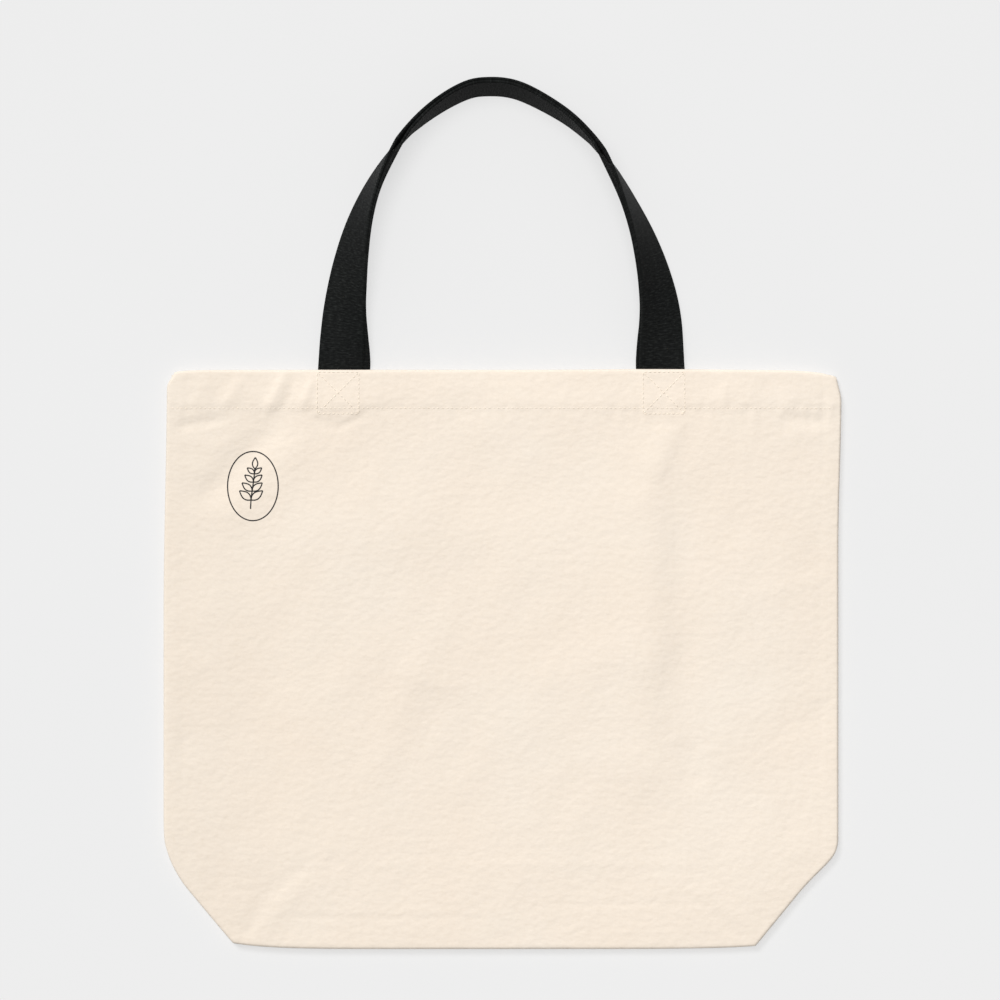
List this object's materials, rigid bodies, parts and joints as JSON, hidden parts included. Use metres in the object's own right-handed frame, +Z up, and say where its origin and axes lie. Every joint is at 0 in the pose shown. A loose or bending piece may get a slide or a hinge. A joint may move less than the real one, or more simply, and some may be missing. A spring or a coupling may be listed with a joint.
{
  "type": "canvas tote bag",
  "caption": "Flat-laid natural canvas tote bag with a folded boxed base, a stitched mouth hem and long black webbing handles that swing.",
  "frame": {"origin": "centre of the underside of the back panel, where the flat-laid bag rests on the surface", "axes": "+X across the bag to its right as seen from the front, +Y from the base fold to the mouth, +Z up out of the front panel"},
  "size_m": [0.48, 0.6161, 0.0328],
  "materials": {
    "canvas": "natural unbleached cotton canvas, plain weave with slubs, matte",
    "webbing": "black cotton webbing with fine cross ribs, soft sheen",
    "thread": "cream cotton sewing thread",
    "ink": "flat black screen-print ink"
  },
  "bodies": {
    "bag": {"front_panel": "canvas", "back_panel": "canvas", "base_panel": "canvas", "front_hem": "canvas", "back_hem": "canvas", "left_side_seam": "canvas", "right_side_seam": "canvas", "left_corner_seam": "canvas", "right_corner_seam": "canvas", "front_base_seam": "canvas", "back_base_seam": "canvas", "front_left_strap_end": "webbing", "front_right_strap_end": "webbing", "back_left_strap_end": "webbing", "back_right_strap_end": "webbing", "front_hem_stitch": "thread", "back_hem_stitch": "thread", "front_left_box_stitch": "thread", "front_right_box_stitch": "thread", "back_left_box_stitch": "thread", "back_right_box_stitch": "thread", "printed_mark": "ink"},
    "front_handle": {"front_handle": "webbing"},
    "back_handle": {"back_handle": "webbing"}
  },
  "joints": [
    {"name": "front_handle_swing", "type": "hinge", "parent": "bag", "child": "front_handle", "pos_m": [0, 0.2055, 0.015], "axis": [1, 0, 0], "range_deg": [0, 165]},
    {"name": "back_handle_swing", "type": "hinge", "parent": "bag", "child": "back_handle", "pos_m": [0, 0.2055, 0], "axis": [1, 0, 0], "range_deg": [-165, 0]}
  ]
}
